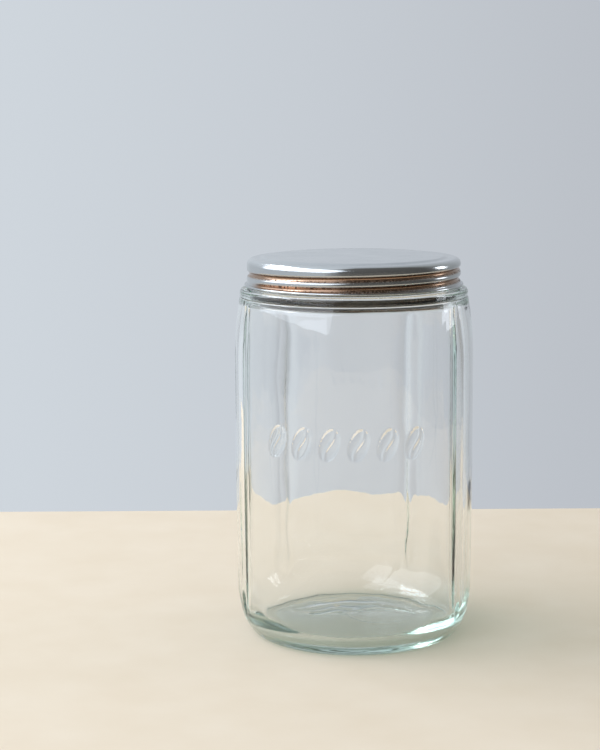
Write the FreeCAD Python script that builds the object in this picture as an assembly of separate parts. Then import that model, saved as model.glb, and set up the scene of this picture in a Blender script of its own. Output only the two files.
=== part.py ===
import FreeCAD, Part
import math
import os

# A food canister: a pressed-glass jar, a spun aluminium screw lid and the liner disc inside the lid.
# Millimetres. +Z is up, the origin is the centre of the base on the surface that it stands on, and the
# label panel faces -Y. Plan angles are measured from that panel, towards +X.

Vector = FreeCAD.Vector
UP = Vector(0, 0, 1)
AXIS_POINT = Vector(0, 0, 0)

# Jar, outside
BODY_RADIUS = 63.5
FOOT_RING_INNER_RADIUS = 45.0
FOOT_RING_OUTER_RADIUS = 51.5
PUSH_UP_HEIGHT = 3.2
HEEL_TOP_RADIUS = 63.0
HEEL_TOP_HEIGHT = 28.0
FULL_RADIUS_HEIGHT = 75.0
SHOULDER_START_HEIGHT = 150.0
SHOULDER_END_HEIGHT = 181.4
SHOULDER_ARC_RADIUS = 184.0
SHOULDER_EDGE_ROUND = 0.8

# Collar ring, neck and rim
COLLAR_RADIUS = 60.5
COLLAR_TOP_HEIGHT = 186.6
COLLAR_LOWER_ROUND = 0.7
COLLAR_UPPER_ROUND = 1.8
NECK_RADIUS = 54.3
MOUTH_RADIUS = 50.0
RIM_HEIGHT = 201.0
RIM_ROUND = 1.0

# Jar, inside: the wall is thickest above the heel, where the pressing plunger tapered
WALL = 2.4
FLOOR_CENTRE_HEIGHT = 7.2
FLOOR_EDGE_RADIUS = 44.0
FLOOR_EDGE_HEIGHT = 5.2
INNER_HEEL_TOP_RADIUS = 58.6
INNER_HEEL_TOP_HEIGHT = 27.0
INNER_FULL_RADIUS_HEIGHT = 95.0
INNER_SHOULDER_END_HEIGHT = 177.0
MOUTH_START_HEIGHT = 190.0

# Upright grooves between the four bowed panels; the rear panel isn't quite behind the label panel
GROOVE_ANGLES = (-135.0, -64.8, 64.8, 153.0)
GROOVE_FLOOR_RADIUS = 60.0
GROOVE_SHORE_RADIUS = 63.9
GROOVE_HALF_WIDTH = 6.6
GROOVE_FLANK_BULGE = 1.0
GROOVE_INNER_RIB_RADIUS = 6.5
GROOVE_INNER_RIB_REACH = 57.7

# Raised motif on the label panel: a row of coffee beans
BEAN_COUNT = 6
BEAN_PITCH_ANGLE = 13.5
BEAN_HEIGHT = 112.7
BEAN_HALF_LENGTH = 8.6
BEAN_HALF_WIDTH = 4.8
BEAN_HALF_DEPTH = 2.6
BEAN_RELIEF = 1.2
BEAN_TILT = 18.0
BEAN_CREASE_WIDTH = 0.9
BEAN_CREASE_DEPTH = 0.7

# Screw thread, right-handed, single start
THREAD_PITCH = 5.08
THREAD_TURNS = 1.5
LID_GROOVE_FRONT_HEIGHT = 190.52
LID_GROOVE_START_ANGLE = -70.0
JAR_THREAD_START_ANGLE = -180.0
JAR_THREAD_CREST_RADIUS = 55.8
JAR_THREAD_HALF_WIDTH = 1.3

# Lid
LID_TOP_HEIGHT = 203.2
LID_SHEET = 0.45
LID_BAND_RADIUS = 56.7
LID_PANEL_RADIUS = 48.4
LID_STEP_WIDTH = 1.2
LID_STEP_DROP = 0.8
LID_CORNER_ROUND = 3.2
LID_GROOVE_DEPTH = 1.3
LID_GROOVE_ROUND = 1.5
HEM_CENTRE_RADIUS = 57.3
HEM_CENTRE_HEIGHT = 188.4
HEM_ROUND = 0.8

# Liner
LINER_RADIUS = 53.6
LINER_GAP = 0.05

INNER_BODY_RADIUS = BODY_RADIUS - WALL
LID_RING_HEIGHT = LID_TOP_HEIGHT - LID_STEP_DROP
LID_BAND_TOP_HEIGHT = LID_RING_HEIGHT - LID_CORNER_ROUND
QUARTER_TURN_MIDDLE = math.sqrt(0.5)
CLEARANCE_CUT = 1.0


def line(start, end):
    """A straight edge between two (radius, height) points."""
    return Part.LineSegment(Vector(start[0], 0, start[1]), Vector(end[0], 0, end[1])).toShape()


def arc(start, middle, end):
    """A circular edge through three (radius, height) points."""
    points = [Vector(r, 0, z) for r, z in (start, middle, end)]
    return Part.Arc(*points).toShape()


def round_corner(start, end, centre, radius):
    """A quarter circle about centre, from start to end."""
    toward = ((start[0] + end[0]) / 2 - centre[0], (start[1] + end[1]) / 2 - centre[1])
    scale = radius / math.hypot(*toward)
    middle = (centre[0] + toward[0] * scale, centre[1] + toward[1] * scale)
    return arc(start, middle, end)


def heel_curve(foot, top):
    """A quarter ellipse, level at the foot and upright at the top, both (radius, height)."""
    centre = Vector(foot[0], 0, top[1])
    ellipse = Part.Ellipse(Vector(foot[0], 0, 2 * top[1] - foot[1]), Vector(top[0], 0, top[1]), centre)
    return Part.ArcOfEllipse(ellipse, math.pi / 2, math.pi).toShape()


def shoulder_drop(height):
    """How far the shoulder's long arc has drawn in at a height."""
    rise = height - SHOULDER_START_HEIGHT
    return SHOULDER_ARC_RADIUS - math.sqrt(SHOULDER_ARC_RADIUS ** 2 - rise ** 2)


def shoulder_arc(radius, end_height):
    """The shoulder's arc, tangent to an upright wall of that radius."""
    middle_height = (SHOULDER_START_HEIGHT + end_height) / 2
    heights = (SHOULDER_START_HEIGHT, middle_height, end_height)
    return arc(*[(radius - shoulder_drop(z), z) for z in heights])


def turned(edges):
    """The solid that a closed outline in the XZ plane sweeps about the upright axis."""
    face = Part.Face(Part.Wire(Part.__sortEdges__(edges)))
    return face.revolve(AXIS_POINT, UP, 360)


def at_plan_angle(shape, angle):
    """Turns a shape that lies towards +X to a plan angle from the label panel."""
    placed = shape.copy()
    placed.rotate(AXIS_POINT, UP, angle - 90)
    return placed


def plan_prism(edges, low, high):
    """An upright prism on a closed outline of edges in the XY plane."""
    face = Part.Face(Part.Wire(Part.__sortEdges__(edges)))
    face.translate(Vector(0, 0, low))
    return face.extrude(Vector(0, 0, high - low))


def glass_outside():
    """The jar without its hollow, thread, grooves and motif."""
    shoulder_radius = BODY_RADIUS - shoulder_drop(SHOULDER_END_HEIGHT)
    crease_radius = shoulder_radius - SHOULDER_EDGE_ROUND
    crease_height = SHOULDER_END_HEIGHT + SHOULDER_EDGE_ROUND
    bead_foot_radius = COLLAR_RADIUS - COLLAR_LOWER_ROUND
    bead_side_low = crease_height + COLLAR_LOWER_ROUND
    bead_side_high = COLLAR_TOP_HEIGHT - COLLAR_UPPER_ROUND
    bead_top_radius = COLLAR_RADIUS - COLLAR_UPPER_ROUND
    rim_side_height = RIM_HEIGHT - RIM_ROUND
    rim_edge_radius = NECK_RADIUS - RIM_ROUND
    push_up_middle = (FOOT_RING_INNER_RADIUS / 2, PUSH_UP_HEIGHT * 0.75)
    return turned([
        arc((0, PUSH_UP_HEIGHT), push_up_middle, (FOOT_RING_INNER_RADIUS, 0)),
        line((FOOT_RING_INNER_RADIUS, 0), (FOOT_RING_OUTER_RADIUS, 0)),
        heel_curve((FOOT_RING_OUTER_RADIUS, 0), (HEEL_TOP_RADIUS, HEEL_TOP_HEIGHT)),
        line((HEEL_TOP_RADIUS, HEEL_TOP_HEIGHT), (BODY_RADIUS, FULL_RADIUS_HEIGHT)),
        line((BODY_RADIUS, FULL_RADIUS_HEIGHT), (BODY_RADIUS, SHOULDER_START_HEIGHT)),
        shoulder_arc(BODY_RADIUS, SHOULDER_END_HEIGHT),
        round_corner((shoulder_radius, SHOULDER_END_HEIGHT), (crease_radius, crease_height),
                     (crease_radius, SHOULDER_END_HEIGHT), SHOULDER_EDGE_ROUND),
        line((crease_radius, crease_height), (bead_foot_radius, crease_height)),
        round_corner((bead_foot_radius, crease_height), (COLLAR_RADIUS, bead_side_low),
                     (bead_foot_radius, bead_side_low), COLLAR_LOWER_ROUND),
        line((COLLAR_RADIUS, bead_side_low), (COLLAR_RADIUS, bead_side_high)),
        round_corner((COLLAR_RADIUS, bead_side_high), (bead_top_radius, COLLAR_TOP_HEIGHT),
                     (bead_top_radius, bead_side_high), COLLAR_UPPER_ROUND),
        line((bead_top_radius, COLLAR_TOP_HEIGHT), (NECK_RADIUS, COLLAR_TOP_HEIGHT)),
        line((NECK_RADIUS, COLLAR_TOP_HEIGHT), (NECK_RADIUS, rim_side_height)),
        round_corner((NECK_RADIUS, rim_side_height), (rim_edge_radius, RIM_HEIGHT),
                     (rim_edge_radius, rim_side_height), RIM_ROUND),
        line((rim_edge_radius, RIM_HEIGHT), (0, RIM_HEIGHT)),
        line((0, RIM_HEIGHT), (0, PUSH_UP_HEIGHT)),
    ])


def glass_hollow():
    """The space inside the jar, up through the mouth, without the ribs behind the grooves."""
    shoulder_radius = INNER_BODY_RADIUS - shoulder_drop(INNER_SHOULDER_END_HEIGHT)
    shoulder_span = MOUTH_START_HEIGHT - INNER_SHOULDER_END_HEIGHT
    neck_curve = Part.BezierCurve()
    neck_curve.setPoles([
        Vector(shoulder_radius, 0, INNER_SHOULDER_END_HEIGHT),
        Vector(shoulder_radius, 0, INNER_SHOULDER_END_HEIGHT + shoulder_span * 0.55),
        Vector(MOUTH_RADIUS, 0, MOUTH_START_HEIGHT - shoulder_span * 0.6),
        Vector(MOUTH_RADIUS, 0, MOUTH_START_HEIGHT),
    ])
    rim_side_height = RIM_HEIGHT - RIM_ROUND
    rim_edge_radius = MOUTH_RADIUS + RIM_ROUND
    open_top = RIM_HEIGHT + CLEARANCE_CUT
    floor_drop = FLOOR_CENTRE_HEIGHT - FLOOR_EDGE_HEIGHT
    floor_middle = (FLOOR_EDGE_RADIUS / 2, FLOOR_CENTRE_HEIGHT - floor_drop / 4)
    heel_top = (INNER_HEEL_TOP_RADIUS, INNER_HEEL_TOP_HEIGHT)
    taper_top = (INNER_BODY_RADIUS, INNER_FULL_RADIUS_HEIGHT)
    return turned([
        arc((0, FLOOR_CENTRE_HEIGHT), floor_middle, (FLOOR_EDGE_RADIUS, FLOOR_EDGE_HEIGHT)),
        heel_curve((FLOOR_EDGE_RADIUS, FLOOR_EDGE_HEIGHT), heel_top),
        line(heel_top, taper_top),
        line(taper_top, (INNER_BODY_RADIUS, SHOULDER_START_HEIGHT)),
        shoulder_arc(INNER_BODY_RADIUS, INNER_SHOULDER_END_HEIGHT),
        neck_curve.toShape(),
        line((MOUTH_RADIUS, MOUTH_START_HEIGHT), (MOUTH_RADIUS, rim_side_height)),
        round_corner((MOUTH_RADIUS, rim_side_height), (rim_edge_radius, RIM_HEIGHT),
                     (rim_edge_radius, rim_side_height), RIM_ROUND),
        line((rim_edge_radius, RIM_HEIGHT), (rim_edge_radius, open_top)),
        line((rim_edge_radius, open_top), (0, open_top)),
        line((0, open_top), (0, FLOOR_CENTRE_HEIGHT)),
    ])


def groove_cutter(angle):
    """What an upright V groove takes from the outside: its flanks bulge, so the panels roll into it."""
    apex = Vector(GROOVE_FLOOR_RADIUS, 0, 0)
    flank_depth = GROOVE_SHORE_RADIUS - GROOVE_FLOOR_RADIUS
    outer_radius = GROOVE_SHORE_RADIUS + CLEARANCE_CUT
    slant = math.hypot(flank_depth, GROOVE_HALF_WIDTH)
    edges = []
    corners = []
    for side in (1, -1):
        shore = Vector(GROOVE_SHORE_RADIUS, side * GROOVE_HALF_WIDTH, 0)
        bulge = Vector(GROOVE_HALF_WIDTH / slant, -side * flank_depth / slant, 0) * GROOVE_FLANK_BULGE
        edges.append(Part.Arc(apex, (apex + shore) / 2 + bulge, shore).toShape())
        corner = Vector(outer_radius, side * GROOVE_HALF_WIDTH, 0)
        edges.append(Part.LineSegment(shore, corner).toShape())
        corners.append(corner)
    edges.append(Part.LineSegment(*corners).toShape())
    top = SHOULDER_END_HEIGHT + SHOULDER_EDGE_ROUND
    return at_plan_angle(plan_prism(edges, -CLEARANCE_CUT, top), angle)


def inner_rib(angle):
    """The soft rib that stands inside the jar behind a groove, as the glass follows the mould."""
    centre = Vector(GROOVE_INNER_RIB_REACH + GROOVE_INNER_RIB_RADIUS, 0, 0)
    rib = Part.makeCylinder(GROOVE_INNER_RIB_RADIUS, RIM_HEIGHT, centre, UP)
    return at_plan_angle(rib, angle)


def bean(angle):
    """One raised coffee bean, an ellipsoid half sunk in the wall, with its crease."""
    centre_radius = BODY_RADIUS + BEAN_RELIEF - BEAN_HALF_DEPTH
    stretch = FreeCAD.Matrix()
    stretch.scale(BEAN_HALF_DEPTH, BEAN_HALF_WIDTH, BEAN_HALF_LENGTH)
    pebble = Part.makeSphere(1).transformGeometry(stretch)
    crease_size = (BEAN_CREASE_DEPTH * 2, BEAN_CREASE_WIDTH, BEAN_HALF_LENGTH * 2)
    crease_corner = Vector(BEAN_HALF_DEPTH - BEAN_CREASE_DEPTH, -BEAN_CREASE_WIDTH / 2, -BEAN_HALF_LENGTH)
    pebble = pebble.cut(Part.makeBox(*crease_size, crease_corner))
    pebble.rotate(AXIS_POINT, Vector(1, 0, 0), BEAN_TILT)
    pebble.translate(Vector(centre_radius, 0, BEAN_HEIGHT))
    return at_plan_angle(pebble, angle)


def bean_row():
    """The row of beans, centred on the label panel."""
    first = -BEAN_PITCH_ANGLE * (BEAN_COUNT - 1) / 2
    return [bean(first + BEAN_PITCH_ANGLE * number) for number in range(BEAN_COUNT)]


def thread_height(angle):
    """Height of the lid groove's centre line at a plan angle."""
    return LID_GROOVE_FRONT_HEIGHT + THREAD_PITCH * angle / 360


def coiled(section, start_angle, start_height, radius):
    """A closed outline in the XZ plane at height 0, carried up a right-handed helix."""
    helix = Part.makeHelix(THREAD_PITCH, THREAD_PITCH * THREAD_TURNS, radius)
    sweep = Part.Wire(helix.Edges).makePipeShell([section], True, True)
    solid = Part.Solid(sweep) if sweep.ShapeType == "Shell" else sweep
    solid.translate(Vector(0, 0, start_height))
    return at_plan_angle(solid, start_angle)


def jar_thread():
    """The round-topped screw thread on the neck, its root sunk in the glass."""
    root_radius = NECK_RADIUS - 0.3
    low = (root_radius, -JAR_THREAD_HALF_WIDTH)
    high = (root_radius, JAR_THREAD_HALF_WIDTH)
    section = Part.Wire([arc(low, (JAR_THREAD_CREST_RADIUS, 0), high), line(high, low)])
    start_height = thread_height(JAR_THREAD_START_ANGLE) + THREAD_PITCH / 2
    return coiled(section, JAR_THREAD_START_ANGLE, start_height, JAR_THREAD_CREST_RADIUS)


def glass_jar():
    """One piece of pressed glass."""
    outside = glass_outside()
    for angle in GROOVE_ANGLES:
        outside = outside.cut(groove_cutter(angle))
    outside = outside.fuse([jar_thread()] + bean_row())
    hollow = glass_hollow().cut([inner_rib(angle) for angle in GROOVE_ANGLES])
    return outside.cut(hollow).removeSplitter()


def lid_shell():
    """The lid's sheet before its thread grooves are rolled in."""
    step_radius = LID_PANEL_RADIUS + LID_STEP_WIDTH
    corner_radius = LID_BAND_RADIUS - LID_CORNER_ROUND
    inner_band_radius = LID_BAND_RADIUS - LID_SHEET
    under_panel = LID_TOP_HEIGHT - LID_SHEET
    under_ring = LID_RING_HEIGHT - LID_SHEET
    panel_edge_inner = LID_PANEL_RADIUS - LID_SHEET / 2
    step_edge_inner = step_radius - LID_SHEET / 2
    corner_centre = (corner_radius, LID_BAND_TOP_HEIGHT)
    return turned([
        line((0, under_panel), (0, LID_TOP_HEIGHT)),
        line((0, LID_TOP_HEIGHT), (LID_PANEL_RADIUS, LID_TOP_HEIGHT)),
        line((LID_PANEL_RADIUS, LID_TOP_HEIGHT), (step_radius, LID_RING_HEIGHT)),
        line((step_radius, LID_RING_HEIGHT), (corner_radius, LID_RING_HEIGHT)),
        round_corner((corner_radius, LID_RING_HEIGHT), (LID_BAND_RADIUS, LID_BAND_TOP_HEIGHT),
                     corner_centre, LID_CORNER_ROUND),
        line((LID_BAND_RADIUS, LID_BAND_TOP_HEIGHT), (LID_BAND_RADIUS, HEM_CENTRE_HEIGHT)),
        line((LID_BAND_RADIUS, HEM_CENTRE_HEIGHT), (inner_band_radius, HEM_CENTRE_HEIGHT)),
        line((inner_band_radius, HEM_CENTRE_HEIGHT), (inner_band_radius, LID_BAND_TOP_HEIGHT)),
        round_corner((inner_band_radius, LID_BAND_TOP_HEIGHT), (corner_radius, under_ring),
                     corner_centre, LID_CORNER_ROUND - LID_SHEET),
        line((corner_radius, under_ring), (step_edge_inner, under_ring)),
        line((step_edge_inner, under_ring), (panel_edge_inner, under_panel)),
        line((panel_edge_inner, under_panel), (0, under_panel)),
    ])


def screw_lid():
    """The spun lid with its rolled thread and curled hem."""
    roll_centre_radius = LID_BAND_RADIUS - LID_GROOVE_DEPTH + LID_GROOVE_ROUND
    rib_round = LID_GROOVE_ROUND + LID_SHEET
    rib_crest_radius = roll_centre_radius - rib_round
    root_radius = LID_BAND_RADIUS - LID_SHEET / 2
    rib_half_width = math.sqrt(rib_round ** 2 - (roll_centre_radius - root_radius) ** 2)
    low = (root_radius, -rib_half_width)
    high = (root_radius, rib_half_width)
    rib_section = Part.Wire([arc(low, (rib_crest_radius, 0), high), line(high, low)])
    roll_circle = Part.Circle(Vector(roll_centre_radius, 0, 0), Vector(0, 1, 0), LID_GROOVE_ROUND)
    roll_section = Part.Wire([roll_circle.toShape()])
    start_height = thread_height(LID_GROOVE_START_ANGLE)
    rib = coiled(rib_section, LID_GROOVE_START_ANGLE, start_height, root_radius)
    roll = coiled(roll_section, LID_GROOVE_START_ANGLE, start_height, roll_centre_radius)
    hem_centre = Vector(0, 0, HEM_CENTRE_HEIGHT)
    hem = Part.makeTorus(HEM_CENTRE_RADIUS, HEM_ROUND, hem_centre, UP)
    return lid_shell().fuse(rib).cut(roll).fuse(hem).removeSplitter()


def lid_liner():
    """The pulpboard disc between the rim and the lid."""
    low = RIM_HEIGHT + LINER_GAP
    high = LID_RING_HEIGHT - LID_SHEET - LINER_GAP
    return Part.makeCylinder(LINER_RADIUS, high - low, Vector(0, 0, low), UP)


def main():
    os.makedirs("parts", exist_ok=True)
    pieces = {"glass_jar": glass_jar(), "screw_lid": screw_lid(), "lid_liner": lid_liner()}
    for name, shape in pieces.items():
        shape.exportStep(f"parts/{name}.step")
        print(name, "valid" if shape.isValid() else "NOT VALID", len(shape.Solids), "solid",
              round(shape.Volume), "mm3", shape.BoundBox)


main()
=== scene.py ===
import math

import bmesh
import bpy
from mathutils import Matrix, Vector, noise


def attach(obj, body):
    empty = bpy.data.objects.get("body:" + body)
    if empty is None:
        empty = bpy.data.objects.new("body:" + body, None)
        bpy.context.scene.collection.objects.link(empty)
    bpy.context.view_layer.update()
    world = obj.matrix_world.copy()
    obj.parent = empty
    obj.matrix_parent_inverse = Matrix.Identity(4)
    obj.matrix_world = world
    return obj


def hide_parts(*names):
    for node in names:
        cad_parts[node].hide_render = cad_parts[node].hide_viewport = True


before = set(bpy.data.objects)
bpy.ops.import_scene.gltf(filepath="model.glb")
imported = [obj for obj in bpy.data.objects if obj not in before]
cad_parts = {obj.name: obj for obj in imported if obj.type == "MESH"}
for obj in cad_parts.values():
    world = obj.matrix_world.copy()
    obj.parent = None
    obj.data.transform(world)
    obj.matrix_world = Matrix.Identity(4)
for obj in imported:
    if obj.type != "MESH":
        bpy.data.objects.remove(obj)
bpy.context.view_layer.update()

# A pressed-glass food canister with a spun aluminium screw lid. Blender works in metres; the named sizes
# below are millimetres, and MM takes them across. Plan angles are measured from the label panel, which
# faces -Y, towards +X.

MM = 0.001
WELD = 0.00001

# Jar, outside
BODY_RADIUS = 63.47
FOOT_RING_INNER_RADIUS = 45.0
FOOT_RING_OUTER_RADIUS = 51.5
PUSH_UP_HEIGHT = 3.2
HEEL_TOP_RADIUS = 63.0
HEEL_TOP_HEIGHT = 28.0
FULL_RADIUS_HEIGHT = 75.0
SHOULDER_START_HEIGHT = 150.0
SHOULDER_END_HEIGHT = 181.4
SHOULDER_ARC_RADIUS = 184.0
SHOULDER_EDGE_ROUND = 0.8
COLLAR_RADIUS = 60.5
COLLAR_TOP_HEIGHT = 186.6
COLLAR_LOWER_ROUND = 0.7
COLLAR_UPPER_ROUND = 1.8
NECK_RADIUS = 54.3
NECK_FOOT_ROUND = 0.8
MOUTH_RADIUS = 50.0
RIM_HEIGHT = 201.0
RIM_ROUND = 1.0

# Jar, inside
WALL = 2.4
FLOOR_CENTRE_HEIGHT = 7.2
FLOOR_EDGE_RADIUS = 44.0
FLOOR_EDGE_HEIGHT = 5.2
INNER_HEEL_TOP_RADIUS = 58.6
INNER_HEEL_TOP_HEIGHT = 27.0
INNER_FULL_RADIUS_HEIGHT = 95.0
INNER_SHOULDER_END_HEIGHT = 177.0
MOUTH_START_HEIGHT = 190.0

# How thick the foot of the wall is beside its mean: at the sides, and what the rear and the front add
TAPER_SIDES = 0.35
TAPER_REAR = 1.15
TAPER_REAR_ANGLE = 125.0
TAPER_FRONT = 0.45
TAPER_FRONT_ANGLE = 75.0
TAPER_BLEND_ANGLE = 25.0

# Unevenness of the inside, in (depth, size, seed)
WALL_WAVES = ((0.35, 36.0, 3.1), (0.15, 12.0, 7.7))
FLOOR_WAVE = (0.35, 17.0, 5.3)

# Grooves between the panels; each has its centre's plan angle and the round at its apex
GROOVE_APEX_ROUNDS = {-135.0: 2.7, -64.8: 0.45, 64.8: 0.45, 153.0: 1.7}
GROOVE_FLOOR_RADIUS = 60.0
GROOVE_SHORE_RADIUS = 63.9
GROOVE_HALF_WIDTH = 6.6
GROOVE_FLANK_BULGE = 1.0
GROOVE_RIB_REACH = 58.3
GROOVE_RIB_SPREAD = 4.6

# Raised beans on the label panel
BEAN_COUNT = 6
BEAN_PITCH_ANGLE = 13.5
BEAN_HEIGHT = 112.7
BEAN_HALF_LENGTH = 8.6
BEAN_HALF_WIDTH = 4.8
BEAN_RELIEF = 1.05
BEAN_DOME_POWER = 0.3
BEAN_TILT = 18.0
BEAN_CREASE_DEPTH_SHARE = 0.85
BEAN_CREASE_END_FADE = 1.5
BEAN_CREASE_HALF_WIDTH = 0.6
BEAN_CREASE_SWAY = 0.9
BEAN_BAND_HALF_HEIGHT = 10.7

# Mark that the glass machine's shears left under the base
SCAR_OFFSET = 13.0
SCAR_RADIUS = 18.0
SCAR_HALF_WIDTH = 1.0
SCAR_DEPTH = 0.35

# Thread
THREAD_PITCH = 5.08
THREAD_TURNS = 1.5
LID_GROOVE_FRONT_HEIGHT = 190.52
LID_GROOVE_START_ANGLE = -70.0
JAR_THREAD_START_ANGLE = -180.0
JAR_THREAD_CREST_RADIUS = 55.8
JAR_THREAD_HALF_WIDTH = 1.3
JAR_THREAD_SPREAD = 1.2
THREAD_RUN_OUT_ANGLE = 24.0

# Lid
LID_TOP_HEIGHT = 203.2
LID_SHEET = 0.45
LID_BAND_RADIUS = 56.7
LID_PANEL_RADIUS = 48.4
LID_STEP_LEAD = 1.2
LID_STEP_WIDTH = 1.6
LID_STEP_DROP = 0.8
LID_CORNER_ROUND = 3.2
LID_GROOVE_DEPTH = 1.3
LID_GROOVE_HALF_WIDTH = 2.1
LID_GRIME_DROP = 1.0
LID_GRIME_HALF_WIDTH = 0.8
# How far painted shade darkens the band, standing in for the darker room that it mirrors
LID_BAND_PAINTED_SHADE = 0.3
HEM_CENTRE_RADIUS = 57.3
HEM_CENTRE_HEIGHT = 188.4
HEM_ROUND = 0.8

# Liner
LINER_RADIUS = 53.6
LINER_ROUND = 0.2
LINER_GAP = 0.05

# Camera and studio, in a frame turned so that the camera looks along +Y
VIEW_TURN = math.radians(6.2)
CAMERA_PLACE = (-28.8, -990.0, 289.0)
CAMERA_DOWN = 0.150
CAMERA_ROLL = -0.006
CAMERA_LENS_MM = 89.8
TABLE_SIDE = 1400.0
TABLE_BACK_EDGE = 290.0
GLASS_BOUNCES = 28
ONE_WALL_DEPTH = 4.5

# The room's colours round the jar, in (share of a turn, colour): from the camera's side, by its right, the
# wall behind the jar and its left. Glossy surfaces mirror a darker room in front.
WALL_COLOURS = [
    (0.475, "BCC1C8"), (0.5, "C7CDD4"), (0.525, "CFD6DD"), (0.67, "DCE3EA"), (0.90, "D6DCE2"),
]
ROOM_COLOURS = [(0.0, "B6B6B5"), (0.24, "A2A2A1"), (0.40, "ACB0B5"), *WALL_COLOURS, (0.96, "B6B6B5")]
MIRRORED_COLOURS = [(0.0, "676664"), (0.24, "5E5D5B"), (0.33, "A6AAAC"), *WALL_COLOURS, (0.96, "676664")]


# ---------------------------------------------------------------- outlines


def stretch(start, end, steps):
    """Points from start to end, without the start."""
    return [tuple(a + (b - a) * i / steps for a, b in zip(start, end)) for i in range(1, steps + 1)]


def bow(centre, radii, start_angle, end_angle, steps):
    """Points along an elliptical arc in (radius, height), without the first; 0 degrees points outwards."""
    turn = (end_angle - start_angle) / steps
    angles = [math.radians(start_angle + turn * i) for i in range(1, steps + 1)]
    return [(centre[0] + radii[0] * math.cos(a), centre[1] + radii[1] * math.sin(a)) for a in angles]


def shoulder(radius, start_height, end_height, steps):
    """Points up the shoulder's long arc, for a wall of that radius."""
    points = []
    for _, height in stretch((0, start_height), (0, end_height), steps):
        rise = height - SHOULDER_START_HEIGHT
        drop = SHOULDER_ARC_RADIUS - math.sqrt(SHOULDER_ARC_RADIUS ** 2 - rise ** 2)
        points.append((radius - drop, height))
    return points


def eased(t):
    """0 to 1 with level ends."""
    t = min(max(t, 0.0), 1.0)
    return t * t * (3 - 2 * t)


# ---------------------------------------------------------------- turning


def turn_outline(outline, sectors):
    """Spins a (radius, height) outline half way round from the rear, in (degrees, steps), and mirrors it."""
    bm = bmesh.new()
    chain = [bm.verts.new((0, r * MM, z * MM)) for r, z in outline]
    front = chain + [bm.edges.new(pair) for pair in zip(chain, chain[1:])]
    for degrees, steps in sectors:
        spun = bmesh.ops.spin(bm, geom=front, cent=(0, 0, 0), axis=(0, 0, 1),
                              angle=math.radians(degrees), steps=steps, use_duplicate=False)
        front = spun["geom_last"]
    bmesh.ops.mirror(bm, geom=bm.verts[:] + bm.edges[:] + bm.faces[:], axis="X", merge_dist=-1)
    bmesh.ops.remove_doubles(bm, verts=bm.verts, dist=WELD)
    return bm


def plan_angle(v):
    """A vertex's plan angle in degrees, from the label panel."""
    return math.degrees(math.atan2(v.co.x, -v.co.y))


def set_radius(v, radius):
    """Moves a vertex in or out to a radius in millimetres."""
    flat = Vector((v.co.x, v.co.y))
    flat = flat.normalized() * radius * MM
    v.co.x, v.co.y = flat


def join_skins(outer, inner):
    """Joins the outer and inner skins of a piece at their shared edges."""
    skin = bpy.data.meshes.new("skin")
    inner.to_mesh(skin)
    inner.free()
    outer.from_mesh(skin)
    bpy.data.meshes.remove(skin)
    return outer


def finish_mesh(bm, name, material):
    """Welds the seams, turns the faces outwards and makes the piece."""
    bmesh.ops.remove_doubles(bm, verts=bm.verts, dist=WELD)
    bmesh.ops.recalc_face_normals(bm, faces=bm.faces)
    for face in bm.faces:
        face.smooth = True
    mesh = bpy.data.meshes.new(name)
    bm.to_mesh(mesh)
    bm.free()
    piece = bpy.data.objects.new(name, mesh)
    bpy.context.scene.collection.objects.link(piece)
    mesh.materials.append(material)
    return piece


# ---------------------------------------------------------------- jar


def groove_near(angle):
    """The nearest groove's centre angle, and the distance in millimetres round the body from it."""
    near = min(GROOVE_APEX_ROUNDS, key=lambda centre: abs((angle - centre + 180) % 360 - 180))
    return near, math.radians(abs((angle - near + 180) % 360 - 180)) * GROOVE_FLOOR_RADIUS


def groove_radius(angle):
    """Radius of the nearest groove's bulging flank; the rear grooves are worn blunter."""
    near, offset = groove_near(angle)
    if offset >= GROOVE_HALF_WIDTH:
        return GROOVE_SHORE_RADIUS
    rise = GROOVE_SHORE_RADIUS - GROOVE_FLOOR_RADIUS
    chord = math.hypot(rise, GROOVE_HALF_WIDTH)
    flank = (chord ** 2 / 4 + GROOVE_FLANK_BULGE ** 2) / (2 * GROOVE_FLANK_BULGE)
    inset = flank - GROOVE_FLANK_BULGE
    centre_radius = GROOVE_FLOOR_RADIUS + rise / 2 - inset * GROOVE_HALF_WIDTH / chord
    centre_offset = GROOVE_HALF_WIDTH / 2 + inset * rise / chord
    blunt_offset = math.hypot(offset, GROOVE_APEX_ROUNDS[near])
    return centre_radius + math.sqrt(max(flank ** 2 - (blunt_offset - centre_offset) ** 2, 0.0))


def bean_relief(angle, height):
    """How far a bean raises the glass at a plan angle and height."""
    first = -BEAN_PITCH_ANGLE * (BEAN_COUNT - 1) / 2
    number = min(max(round((angle - first) / BEAN_PITCH_ANGLE), 0), BEAN_COUNT - 1)
    across = math.radians(angle - first - BEAN_PITCH_ANGLE * number) * BODY_RADIUS
    up = height - BEAN_HEIGHT
    tilt = math.radians(BEAN_TILT)
    side = across * math.cos(tilt) - up * math.sin(tilt)
    along = across * math.sin(tilt) + up * math.cos(tilt)
    reach = (side / BEAN_HALF_WIDTH) ** 2 + (along / BEAN_HALF_LENGTH) ** 2
    if reach >= 1:
        return 0.0
    dome = BEAN_RELIEF * (1 - reach) ** BEAN_DOME_POWER
    crease_line = BEAN_CREASE_SWAY * math.sin(math.pi * along / BEAN_HALF_LENGTH)
    crease = math.exp(-((side - crease_line) / BEAN_CREASE_HALF_WIDTH) ** 2)
    end_fade = min(dome / BEAN_RELIEF * BEAN_CREASE_END_FADE, 1.0)
    return dome - BEAN_CREASE_DEPTH_SHARE * BEAN_RELIEF * crease * end_fade


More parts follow.
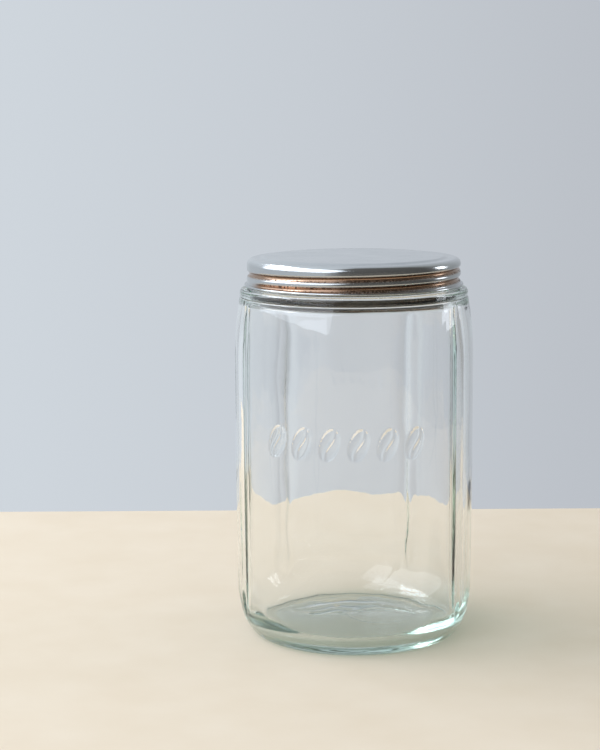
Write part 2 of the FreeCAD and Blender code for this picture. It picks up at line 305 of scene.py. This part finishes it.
def thread_reach(angle, height, start_angle, front_height, half_width):
    """0 to 1: how near a point is to the crest of a helix, fading where its ends run out."""
    best = 0.0
    for turn in (-1, 0, 1, 2):
        along = angle + 360 * turn
        run = min(along - start_angle, start_angle + 360 * THREAD_TURNS - along)
        away = abs(height - front_height - THREAD_PITCH * along / 360) / half_width
        if run > 0 and away < 1:
            best = max(best, eased(run / THREAD_RUN_OUT_ANGLE) * math.cos(away * math.pi / 2) ** 2)
    return best


def glass_wave(v, depth, size, seed):
    """Smooth unevenness of up to depth millimetres, which changes over about size millimetres."""
    return depth * noise.noise(v.co / (size * MM) + Vector((seed, seed, seed)))


def jar_outer_outline():
    shoulder_radius = shoulder(BODY_RADIUS, 0, SHOULDER_END_HEIGHT, 1)[-1][0]
    crease_radius = shoulder_radius - SHOULDER_EDGE_ROUND
    crease_height = SHOULDER_END_HEIGHT + SHOULDER_EDGE_ROUND
    bead_foot_radius = COLLAR_RADIUS - COLLAR_LOWER_ROUND
    bead_low = crease_height + COLLAR_LOWER_ROUND
    bead_high = COLLAR_TOP_HEIGHT - COLLAR_UPPER_ROUND
    bead_top_radius = COLLAR_RADIUS - COLLAR_UPPER_ROUND
    neck_foot_radius = NECK_RADIUS + NECK_FOOT_ROUND
    neck_low = COLLAR_TOP_HEIGHT + NECK_FOOT_ROUND
    rim_low = RIM_HEIGHT - RIM_ROUND
    label_low = BEAN_HEIGHT - BEAN_BAND_HALF_HEIGHT
    label_high = BEAN_HEIGHT + BEAN_BAND_HALF_HEIGHT
    points = [(0.0, PUSH_UP_HEIGHT)]
    for radius, _ in stretch((0, 0), (FOOT_RING_INNER_RADIUS, 0), 24):
        points.append((radius, PUSH_UP_HEIGHT * (1 - eased(radius / FOOT_RING_INNER_RADIUS))))
    points += stretch(points[-1], (FOOT_RING_OUTER_RADIUS, 0), 3)
    points += bow((FOOT_RING_OUTER_RADIUS, HEEL_TOP_HEIGHT),
                  (HEEL_TOP_RADIUS - FOOT_RING_OUTER_RADIUS, HEEL_TOP_HEIGHT), -90, 0, 24)
    points += stretch(points[-1], (BODY_RADIUS, FULL_RADIUS_HEIGHT), 6)
    points += stretch(points[-1], (BODY_RADIUS, label_low), 4)
    points += stretch(points[-1], (BODY_RADIUS, label_high), 44)
    points += stretch(points[-1], (BODY_RADIUS, SHOULDER_START_HEIGHT), 5)
    points += shoulder(BODY_RADIUS, SHOULDER_START_HEIGHT, SHOULDER_END_HEIGHT, 12)
    points += bow((crease_radius, SHOULDER_END_HEIGHT), (SHOULDER_EDGE_ROUND,) * 2, 0, 90, 4)
    points += [(bead_foot_radius, crease_height)]
    points += bow((bead_foot_radius, bead_low), (COLLAR_LOWER_ROUND,) * 2, -90, 0, 4)
    points += stretch(points[-1], (COLLAR_RADIUS, bead_high), 2)
    points += bow((bead_top_radius, bead_high), (COLLAR_UPPER_ROUND,) * 2, 0, 90, 7)
    points += stretch(points[-1], (neck_foot_radius, COLLAR_TOP_HEIGHT), 2)
    points += bow((neck_foot_radius, neck_low), (NECK_FOOT_ROUND,) * 2, -90, -180, 3)
    points += stretch(points[-1], (NECK_RADIUS, rim_low), 28)
    points += bow((NECK_RADIUS - RIM_ROUND, rim_low), (RIM_ROUND,) * 2, 0, 90, 5)
    return points


def jar_inner_outline():
    inner_radius = BODY_RADIUS - WALL
    rim_low = RIM_HEIGHT - RIM_ROUND
    points = [(NECK_RADIUS - RIM_ROUND, RIM_HEIGHT), (MOUTH_RADIUS + RIM_ROUND, RIM_HEIGHT)]
    points += bow((MOUTH_RADIUS + RIM_ROUND, rim_low), (RIM_ROUND,) * 2, 90, 180, 5)
    points += stretch(points[-1], (MOUTH_RADIUS, MOUTH_START_HEIGHT), 4)
    shoulder_radius = shoulder(inner_radius, 0, INNER_SHOULDER_END_HEIGHT, 1)[-1][0]
    for radius, height in stretch(points[-1], (shoulder_radius, INNER_SHOULDER_END_HEIGHT), 16):
        share = (MOUTH_START_HEIGHT - height) / (MOUTH_START_HEIGHT - INNER_SHOULDER_END_HEIGHT)
        points.append((MOUTH_RADIUS + (shoulder_radius - MOUTH_RADIUS) * eased(share) ** 0.8, height))
    points += shoulder(inner_radius, INNER_SHOULDER_END_HEIGHT, SHOULDER_START_HEIGHT, 7)
    points += stretch(points[-1], (inner_radius, INNER_FULL_RADIUS_HEIGHT), 8)
    taper = inner_radius - INNER_HEEL_TOP_RADIUS
    for _, height in stretch(points[-1], (0, INNER_HEEL_TOP_HEIGHT), 10):
        share = (INNER_FULL_RADIUS_HEIGHT - height) / (INNER_FULL_RADIUS_HEIGHT - INNER_HEEL_TOP_HEIGHT)
        points.append((inner_radius - taper * share, height))
    points += bow((FLOOR_EDGE_RADIUS, INNER_HEEL_TOP_HEIGHT),
                  (INNER_HEEL_TOP_RADIUS - FLOOR_EDGE_RADIUS, INNER_HEEL_TOP_HEIGHT - FLOOR_EDGE_HEIGHT),
                  0, -90, 22)
    for radius, _ in stretch((FLOOR_EDGE_RADIUS, 0), (0, 0), 20):
        lift = (FLOOR_CENTRE_HEIGHT - FLOOR_EDGE_HEIGHT) * (1 - eased(radius / FLOOR_EDGE_RADIUS))
        points.append((radius, FLOOR_EDGE_HEIGHT + lift))
    return points


def jar_sectors():
    """Spin sectors (degrees, steps) of half a turn, close together at the grooves and over the beans."""
    near = 7.5
    label = BEAN_PITCH_ANGLE * BEAN_COUNT / 2
    sectors = []
    reached = 180.0
    for groove in sorted({abs(angle) for angle in GROOVE_APEX_ROUNDS}, reverse=True):
        gap = reached - groove - near
        sectors += [(gap, max(round(gap / 2.5), 1)), (2 * near, 24)]
        reached = groove - near
    return sectors + [(reached - label, 6), (label, 72)]


def shape_outside(verts):
    """Presses the grooves, the beans, the thread and the base mark into the outer skin."""
    crease_height = SHOULDER_END_HEIGHT + SHOULDER_EDGE_ROUND
    for v in verts:
        radius = v.co.xy.length / MM
        height = v.co.z / MM
        angle = plan_angle(v)
        if height < crease_height - 0.01 and radius > FOOT_RING_OUTER_RADIUS:
            grooved = min(radius, groove_radius(angle))
            set_radius(v, grooved + bean_relief(angle, height))
        elif radius < FOOT_RING_INNER_RADIUS:
            away = (v.co.xy - Vector((SCAR_OFFSET * MM, 0))).length / MM - SCAR_RADIUS
            v.co.z += SCAR_DEPTH * MM * math.exp(-(away / SCAR_HALF_WIDTH) ** 2)
        elif height > COLLAR_TOP_HEIGHT + 0.9 and radius > NECK_RADIUS - 0.01:
            front_height = LID_GROOVE_FRONT_HEIGHT + THREAD_PITCH / 2
            crest = thread_reach(angle, height, JAR_THREAD_START_ANGLE, front_height,
                                 JAR_THREAD_HALF_WIDTH * JAR_THREAD_SPREAD)
            set_radius(v, radius + (JAR_THREAD_CREST_RADIUS - NECK_RADIUS) * crest)


def panel_taper(angle):
    """How thick the foot of the wall is beside its mean: most at the rear, least at the sides."""
    behind = eased((abs(angle) - TAPER_REAR_ANGLE) / TAPER_BLEND_ANGLE)
    ahead = eased((TAPER_FRONT_ANGLE - abs(angle)) / TAPER_BLEND_ANGLE)
    return TAPER_SIDES + TAPER_REAR * behind + TAPER_FRONT * ahead


def shape_inside(verts):
    """Raises the soft ribs behind the grooves and gives the glass its uneven thickness."""
    for v in verts:
        radius = v.co.xy.length / MM
        height = v.co.z / MM
        below_mouth = eased((MOUTH_START_HEIGHT - height) / (MOUTH_START_HEIGHT - INNER_SHOULDER_END_HEIGHT))
        if radius > FLOOR_EDGE_RADIUS:
            above_floor = eased((radius - FLOOR_EDGE_RADIUS) / (INNER_HEEL_TOP_RADIUS - FLOOR_EDGE_RADIUS))
            angle = plan_angle(v)
            offset = groove_near(angle)[1]
            if INNER_HEEL_TOP_HEIGHT <= height < INNER_FULL_RADIUS_HEIGHT:
                radius -= (panel_taper(angle) - 1) * (BODY_RADIUS - WALL - radius)
            elif height < INNER_HEEL_TOP_HEIGHT:
                foot = BODY_RADIUS - WALL - INNER_HEEL_TOP_RADIUS
                radius -= (panel_taper(angle) - 1) * foot * above_floor
            rib_share = math.exp(-(offset / GROOVE_RIB_SPREAD) ** 2)
            rib = max(radius - GROOVE_RIB_REACH, 0) * rib_share
            waves = sum(glass_wave(v, *wave) for wave in WALL_WAVES) * (1 - rib_share)
            set_radius(v, radius + (waves * above_floor - rib) * below_mouth)
        else:
            v.co.z += MM * glass_wave(v, *FLOOR_WAVE)


def make_jar(material):
    outer = turn_outline(jar_outer_outline(), jar_sectors())
    shape_outside(outer.verts)
    inner = turn_outline(jar_inner_outline(), jar_sectors())
    shape_inside(inner.verts)
    return finish_mesh(join_skins(outer, inner), "canister_jar", material)


# ---------------------------------------------------------------- lid and liner


def lid_outer_outline():
    ring_height = LID_TOP_HEIGHT - LID_STEP_DROP
    corner_radius = LID_BAND_RADIUS - LID_CORNER_ROUND
    band_high = ring_height - LID_CORNER_ROUND
    step_start = LID_PANEL_RADIUS - LID_STEP_LEAD
    points = [(0.0, LID_TOP_HEIGHT)]
    points += stretch(points[-1], (step_start, LID_TOP_HEIGHT), 16)
    for radius, _ in stretch((step_start, 0), (LID_PANEL_RADIUS + LID_STEP_WIDTH, 0), 8):
        share = (radius - step_start) / (LID_STEP_WIDTH + LID_STEP_LEAD)
        points.append((radius, LID_TOP_HEIGHT - LID_STEP_DROP * eased(share)))
    points += stretch(points[-1], (corner_radius, ring_height), 3)
    points += bow((corner_radius, band_high), (LID_CORNER_ROUND,) * 2, 90, 0, 12)
    points += stretch(points[-1], (LID_BAND_RADIUS, HEM_CENTRE_HEIGHT + HEM_ROUND), 44)
    points += bow((HEM_CENTRE_RADIUS, HEM_CENTRE_HEIGHT), (HEM_ROUND,) * 2, 120, -180, 18)
    return points


def lid_inner_outline():
    ring_height = LID_TOP_HEIGHT - LID_STEP_DROP
    corner_radius = LID_BAND_RADIUS - LID_CORNER_ROUND
    band_high = ring_height - LID_CORNER_ROUND
    inner_radius = LID_BAND_RADIUS - LID_SHEET
    points = [(HEM_CENTRE_RADIUS - HEM_ROUND, HEM_CENTRE_HEIGHT)]
    points += stretch(points[-1], (inner_radius, HEM_CENTRE_HEIGHT + HEM_ROUND), 2)
    points += stretch(points[-1], (inner_radius, band_high), 44)
    points += bow((corner_radius, band_high), (LID_CORNER_ROUND - LID_SHEET,) * 2, 0, 90, 8)
    step_start = LID_PANEL_RADIUS - LID_STEP_LEAD
    step_end = LID_PANEL_RADIUS + LID_STEP_WIDTH
    points += stretch(points[-1], (step_end, ring_height - LID_SHEET), 3)
    for radius, _ in stretch((step_end, 0), (step_start, 0), 6):
        share = (radius - step_start) / (LID_STEP_WIDTH + LID_STEP_LEAD)
        points.append((radius, LID_TOP_HEIGHT - LID_SHEET - LID_STEP_DROP * eased(share)))
    points += stretch(points[-1], (0, LID_TOP_HEIGHT - LID_SHEET), 8)
    return points


def roll_thread(bm, painted_shade_at):
    """Rolls the helical groove into the band of one face of the sheet, and notes the groove, its foot where
    grime lies, and how much painted shade each point takes.
    """
    groove_layer = bm.verts.layers.float.new("groove")
    foot_layer = bm.verts.layers.float.new("groove_foot")
    painted_shade_layer = bm.verts.layers.float.new("painted_shade")
    for v in bm.verts:
        radius = v.co.xy.length / MM
        height = v.co.z / MM
        v[painted_shade_layer] = painted_shade_at(height)
        if radius > LID_BAND_RADIUS - LID_SHEET - 0.01 and height > HEM_CENTRE_HEIGHT + HEM_ROUND * 0.6:
            angle = plan_angle(v)
            depth = thread_reach(angle, height, LID_GROOVE_START_ANGLE, LID_GROOVE_FRONT_HEIGHT,
                                 LID_GROOVE_HALF_WIDTH)
            set_radius(v, radius - LID_GROOVE_DEPTH * depth)
            v[groove_layer] = depth
            v[foot_layer] = thread_reach(angle, height, LID_GROOVE_START_ANGLE,
                                         LID_GROOVE_FRONT_HEIGHT - LID_GRIME_DROP, LID_GRIME_HALF_WIDTH)


def band_painted_shade(height):
    """Painted shade on the outside: none on top, rising down the corner to the band, which is darkened to
    stand in for the darker room that it mirrors.
    """
    return LID_BAND_PAINTED_SHADE * eased((LID_TOP_HEIGHT - LID_STEP_DROP - height) / LID_CORNER_ROUND)


def inside_painted_shade(height):
    """Painted shade at full strength: the inside is darkened to stand in for the shade under the lid."""
    return 1.0


def make_lid(material):
    outer = turn_outline(lid_outer_outline(), [(180, 144)])
    roll_thread(outer, band_painted_shade)
    inner = turn_outline(lid_inner_outline(), [(180, 144)])
    roll_thread(inner, inside_painted_shade)
    return finish_mesh(join_skins(outer, inner), "canister_lid", material)


def make_liner(material):
    low = RIM_HEIGHT + LINER_GAP
    high = LID_TOP_HEIGHT - LID_STEP_DROP - LID_SHEET - LINER_GAP
    edge = LINER_RADIUS - LINER_ROUND
    points = [(0.0, low)] + stretch((0, low), (edge, low), 12)
    points += bow((edge, low + LINER_ROUND), (LINER_ROUND,) * 2, -90, 0, 4)
    points += bow((edge, high - LINER_ROUND), (LINER_ROUND,) * 2, 0, 90, 4)
    points += stretch(points[-1], (0, high), 12)
    return finish_mesh(turn_outline(points, [(180, 72)]), "sealing_liner", material)


# ---------------------------------------------------------------- materials


def srgb(text):
    """A hex colour as linear red, green, blue and alpha."""
    parts = [int(text[i:i + 2], 16) / 255 for i in (0, 2, 4)]
    return tuple(c / 12.92 if c <= 0.04045 else ((c + 0.055) / 1.055) ** 2.4 for c in parts) + (1.0,)


def node(tree, kind, inputs=None, **settings):
    """Adds a node with its settings; an input is a value or the socket that feeds it."""
    made = tree.nodes.new(kind)
    for name, value in settings.items():
        setattr(made, name, value)
    for name, value in (inputs or {}).items():
        if isinstance(value, bpy.types.NodeSocket):
            tree.links.new(value, made.inputs[name])
        else:
            made.inputs[name].default_value = value
    return made


def new_material(name):
    """An empty node material and its output node."""
    material = bpy.data.materials.new(name)
    material.use_nodes = True
    tree = material.node_tree
    tree.nodes.clear()
    return material, tree, node(tree, "ShaderNodeOutputMaterial")


def pressed_glass():
    """Pressed soda-lime glass: clear and glossy, a little wavy, blue-green only where it's thick."""
    material, tree, output = new_material("pressed_clear_glass")
    place = node(tree, "ShaderNodeTexCoord").outputs["Object"]
    ripple = node(tree, "ShaderNodeTexNoise", {"Vector": place, "Scale": 1 / (9 * MM), "Detail": 1.0})
    skin = node(tree, "ShaderNodeTexNoise", {"Vector": place, "Scale": 1 / (1.6 * MM), "Detail": 2.0})
    relief = node(tree, "ShaderNodeBump", {"Height": ripple.outputs[0], "Distance": 0.05 * MM,
                                           "Strength": 0.6})
    fine = node(tree, "ShaderNodeBump", {"Height": skin.outputs[0], "Distance": 0.004 * MM,
                                         "Strength": 0.5, "Normal": relief.outputs[0]})
    gloss = node(tree, "ShaderNodeMapRange", {"Value": skin.outputs[0], "To Min": 0.0, "To Max": 0.02})
    glass = node(tree, "ShaderNodeBsdfPrincipled", {
        "Base Color": srgb("FFFFFF"), "Transmission Weight": 1.0, "IOR": 1.52,
        "Roughness": gloss.outputs[0], "Normal": fine.outputs[0],
    })
    clear = node(tree, "ShaderNodeBsdfTransparent", {"Color": srgb("E4E9E8")})
    path = node(tree, "ShaderNodeLightPath")
    lit = node(tree, "ShaderNodeMath", {0: path.outputs["Is Shadow Ray"], 1: path.outputs["Is Diffuse Ray"]},
               operation="MAXIMUM")
    seen = node(tree, "ShaderNodeMixShader", {0: lit.outputs[0], 1: glass.outputs[0],
                                              2: clear.outputs[0]})
    tint = node(tree, "ShaderNodeVolumeAbsorption", {"Color": srgb("BDE2D4"), "Density": 7.5})
    tree.links.new(seen.outputs[0], output.inputs["Surface"])
    tree.links.new(tint.outputs[0], output.inputs["Volume"])
    return material


def spun_aluminium():
    """Spun aluminium, semi-gloss: faint turning rings, soft wear, painted shade on the band and inside, a
    painted reflection of a brown table in the thread groove, grime in the thread.
    """
    material, tree, output = new_material("spun_aluminium")
    place = node(tree, "ShaderNodeTexCoord").outputs["Object"]
    groove = node(tree, "ShaderNodeAttribute", attribute_name="groove").outputs["Fac"]
    foot = node(tree, "ShaderNodeAttribute", attribute_name="groove_foot").outputs["Fac"]
    painted_shade = node(tree, "ShaderNodeAttribute", attribute_name="painted_shade").outputs["Fac"]
    rings = node(tree, "ShaderNodeTexWave", {"Vector": place, "Scale": 2 * math.pi / (20 * 1.1 * MM),
                                             "Distortion": 1.5, "Detail": 2.0, "Detail Scale": 0.4},
                 wave_type="RINGS", rings_direction="Z")
    wear = node(tree, "ShaderNodeTexNoise", {"Vector": place, "Scale": 1 / (14 * MM), "Detail": 5.0})
    specks = node(tree, "ShaderNodeTexNoise", {"Vector": place, "Scale": 1 / (1.3 * MM), "Detail": 3.0})
    speck_mask = node(tree, "ShaderNodeMapRange", {"Value": specks.outputs[0], "From Min": 0.5,
                                                   "From Max": 0.6})
    in_groove = node(tree, "ShaderNodeMapRange", {"Value": groove, "From Min": 0.02, "From Max": 0.55})
    grime = node(tree, "ShaderNodeMath", {0: speck_mask.outputs[0], 1: foot}, operation="MULTIPLY")
    bare_colour = node(tree, "ShaderNodeMix", {"Factor": wear.outputs[0], 6: srgb("E8EBEC"),
                                               7: srgb("D2D6D9")}, data_type="RGBA")
    # Painted shade: the band and the whole inside of the lid are darkened towards dark grey-brown.
    shaded_colour = node(tree, "ShaderNodeMix", {"Factor": painted_shade, 6: bare_colour.outputs[2],
                                               7: srgb("3A3732")}, data_type="RGBA")
    # Painted reflection: the thread groove is tinted warm brown, as if it mirrored a brown wooden table.
    painted_table_reflection = node(tree, "ShaderNodeMath", {0: in_groove.outputs[0], 1: 0.85}, operation="MULTIPLY")
    metal_colour = node(tree, "ShaderNodeMix", {"Factor": painted_table_reflection.outputs[0], 6: shaded_colour.outputs[2],
                                                7: srgb("977354")}, data_type="RGBA")
    colour = node(tree, "ShaderNodeMix", {"Factor": grime.outputs[0], 6: metal_colour.outputs[2],
                                          7: srgb("3F2E1C")}, data_type="RGBA")
    gloss = node(tree, "ShaderNodeMapRange", {"Value": wear.outputs[0], "To Min": 0.1, "To Max": 0.22})
    rough = node(tree, "ShaderNodeMix", {"Factor": grime.outputs[0], 2: gloss.outputs[0], 3: 0.65})
    bare = node(tree, "ShaderNodeMath", {0: 1.0, 1: grime.outputs[0]}, operation="SUBTRACT")
    turned = node(tree, "ShaderNodeBump", {"Height": rings.outputs["Fac"], "Distance": 0.01 * MM,
                                           "Strength": 0.35})
    dented = node(tree, "ShaderNodeBump", {"Height": wear.outputs[0], "Distance": 0.25 * MM,
                                           "Strength": 0.5, "Normal": turned.outputs[0]})
    metal = node(tree, "ShaderNodeBsdfPrincipled", {
        "Base Color": colour.outputs[2], "Metallic": bare.outputs[0], "Roughness": rough.outputs[0],
        "Normal": dented.outputs[0],
    })
    tree.links.new(metal.outputs[0], output.inputs["Surface"])
    return material


def shaded_board():
    """Pulpboard: dark brown, made darker as painted shade for the gap under the lid that shows through the
    glass; matte, with short fibres and paler blotches.
    """
    material, tree, output = new_material("shaded_pulpboard")
    place = node(tree, "ShaderNodeTexCoord").outputs["Object"]
    fibres = node(tree, "ShaderNodeTexNoise", {"Vector": place, "Scale": 1 / (0.8 * MM), "Detail": 4.0})
    blotch = node(tree, "ShaderNodeTexNoise", {"Vector": place, "Scale": 1 / (18 * MM), "Detail": 3.0})
    mixed = node(tree, "ShaderNodeMath", {0: fibres.outputs[0], 1: blotch.outputs[0]}, operation="MULTIPLY")
    # Painted shade: the board is kept dark brown to stand in for the shade in the gap under the lid.
    colour = node(tree, "ShaderNodeMix", {"Factor": mixed.outputs[0], 6: srgb("352E26"),
                                          7: srgb("5B5040")}, data_type="RGBA")
    rough = node(tree, "ShaderNodeMapRange", {"Value": blotch.outputs[0], "To Min": 0.45, "To Max": 0.7})
    felt = node(tree, "ShaderNodeBump", {"Height": fibres.outputs[0], "Distance": 0.06 * MM,
                                         "Strength": 0.7})
    board = node(tree, "ShaderNodeBsdfPrincipled", {
        "Base Color": colour.outputs[2], "Roughness": rough.outputs[0], "Normal": felt.outputs[0],
    })
    tree.links.new(board.outputs[0], output.inputs["Surface"])
    return material


def table_top():
    """A plain pale surface, matte with a faint grain."""
    material, tree, output = new_material("pale_table")
    place = node(tree, "ShaderNodeTexCoord").outputs["Object"]
    grain = node(tree, "ShaderNodeTexNoise", {"Vector": place, "Scale": 1 / (40 * MM), "Detail": 4.0})
    colour = node(tree, "ShaderNodeMix", {"Factor": grain.outputs[0], 6: srgb("E2D5C1"),
                                          7: srgb("D9C9B1")}, data_type="RGBA")
    top = node(tree, "ShaderNodeBsdfPrincipled", {
        "Base Color": colour.outputs[2], "Roughness": 0.8, "Specular IOR Level": 0.1,
    })
    tree.links.new(top.outputs[0], output.inputs["Surface"])
    return material


# ---------------------------------------------------------------- studio


def turned_place(x, y, z):
    """A point in the camera-aligned frame, in millimetres, as a place in the part's frame."""
    return Matrix.Rotation(VIEW_TURN, 3, "Z") @ Vector((x, y, z)) * MM


def make_table():
    bm = bmesh.new()
    bmesh.ops.create_grid(bm, x_segments=1, y_segments=1, size=TABLE_SIDE / 2 * MM)
    bmesh.ops.translate(bm, vec=(0, (TABLE_BACK_EDGE - TABLE_SIDE / 2) * MM, 0), verts=bm.verts)
    bmesh.ops.rotate(bm, verts=bm.verts, matrix=Matrix.Rotation(VIEW_TURN, 3, "Z"))
    table = finish_mesh(bm, "table_top", table_top())


def make_light(name, azimuth, distance, height, size, power, colour):
    """A soft panel that faces the jar, at an azimuth from the camera's side, positive to its right."""
    data = bpy.data.lights.new(name, "AREA")
    data.shape = "RECTANGLE"
    data.size, data.size_y = size
    data.energy = power
    data.color = srgb(colour)[:3]
    lamp = bpy.data.objects.new(name, data)
    bpy.context.scene.collection.objects.link(lamp)
    a = math.radians(azimuth)
    lamp.location = turned_place(distance * math.sin(a), -distance * math.cos(a), height)
    aim = Vector((0, 0, 100 * MM)) - lamp.location
    lamp.rotation_euler = aim.to_track_quat("-Z", "Y").to_euler()
    lamp.visible_camera = False


def make_world():
    """A pale wall behind the jar, and a dimmer room in front of it and to the right."""
    world = bpy.data.worlds.new("studio")
    bpy.context.scene.world = world
    world.use_nodes = True
    tree = world.node_tree
    tree.nodes.clear()
    output = node(tree, "ShaderNodeOutputWorld")
    direction = node(tree, "ShaderNodeTexCoord").outputs["Generated"]
    aligned = node(tree, "ShaderNodeMapping", {"Vector": direction,
                                               "Rotation": (0, 0, -VIEW_TURN + math.radians(-90))})
    azimuth = node(tree, "ShaderNodeTexGradient", {"Vector": aligned.outputs[0]},
                   gradient_type="RADIAL")
    ramps = []
    for stops in (ROOM_COLOURS, MIRRORED_COLOURS):
        ramp = node(tree, "ShaderNodeValToRGB", {"Fac": azimuth.outputs["Fac"]})
        elements = ramp.color_ramp.elements
        while len(elements) < len(stops):
            elements.new(0.5)
        for element, (position, colour) in zip(elements, stops):
            element.position = position
            element.color = srgb(colour)
        ramps.append(ramp.outputs[0])
    # What is seen through one wall of the glass at most keeps the room's own colours.
    path = node(tree, "ShaderNodeLightPath").outputs
    direct = node(tree, "ShaderNodeMath", {0: path["Ray Depth"], 1: ONE_WALL_DEPTH}, operation="LESS_THAN")
    through = node(tree, "ShaderNodeMath", {0: path["Is Transmission Ray"], 1: direct.outputs[0]},
                   operation="MULTIPLY")
    glossy = node(tree, "ShaderNodeMath", {0: path["Is Glossy Ray"], 1: through.outputs[0]},
                  operation="SUBTRACT", use_clamp=True)
    colour = node(tree, "ShaderNodeMix", {"Factor": glossy.outputs[0], 6: ramps[0], 7: ramps[1]},
                  data_type="RGBA")
    light = node(tree, "ShaderNodeBackground", {"Color": colour.outputs[2], "Strength": 1.0})
    tree.links.new(light.outputs[0], output.inputs["Surface"])


def make_camera():
    data = bpy.data.cameras.new("camera")
    data.lens = CAMERA_LENS_MM
    data.clip_end = 20.0
    camera = bpy.data.objects.new("camera", data)
    bpy.context.scene.collection.objects.link(camera)
    pan = Matrix.Rotation(VIEW_TURN, 4, "Z")
    tilt = Matrix.Rotation(math.pi / 2 - CAMERA_DOWN, 4, "X")
    roll = Matrix.Rotation(CAMERA_ROLL, 4, "Z")
    camera.matrix_world = Matrix.Translation(turned_place(*CAMERA_PLACE)) @ pan @ tilt @ roll
    bpy.context.scene.camera = camera


# ---------------------------------------------------------------- assembly

jar = make_jar(pressed_glass())
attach(jar, "jar")
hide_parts("glass_jar")

lid = make_lid(spun_aluminium())
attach(lid, "lid")
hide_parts("screw_lid")

liner = make_liner(shaded_board())
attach(liner, "liner")
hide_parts("lid_liner")

make_table()
make_world()
make_light("window_panel", -68, 2200, 1454, (5.25, 2.37), 86, "EAF2FF")
make_light("high_window", -106, 1150, 1350, (1.5, 0.35), 13, "F4F8FF")
make_light("far_window", 105, 1800, 500, (0.5, 0.7), 4, "F2F6FF")
make_camera()
bpy.context.scene.view_settings.view_transform = "Standard"
# Light that is caught in the thick heel turns back many times before it gets out.
bpy.context.scene.cycles.max_bounces = GLASS_BOUNCES
bpy.context.scene.cycles.transmission_bounces = GLASS_BOUNCES
bpy.context.scene.cycles.glossy_bounces = GLASS_BOUNCES
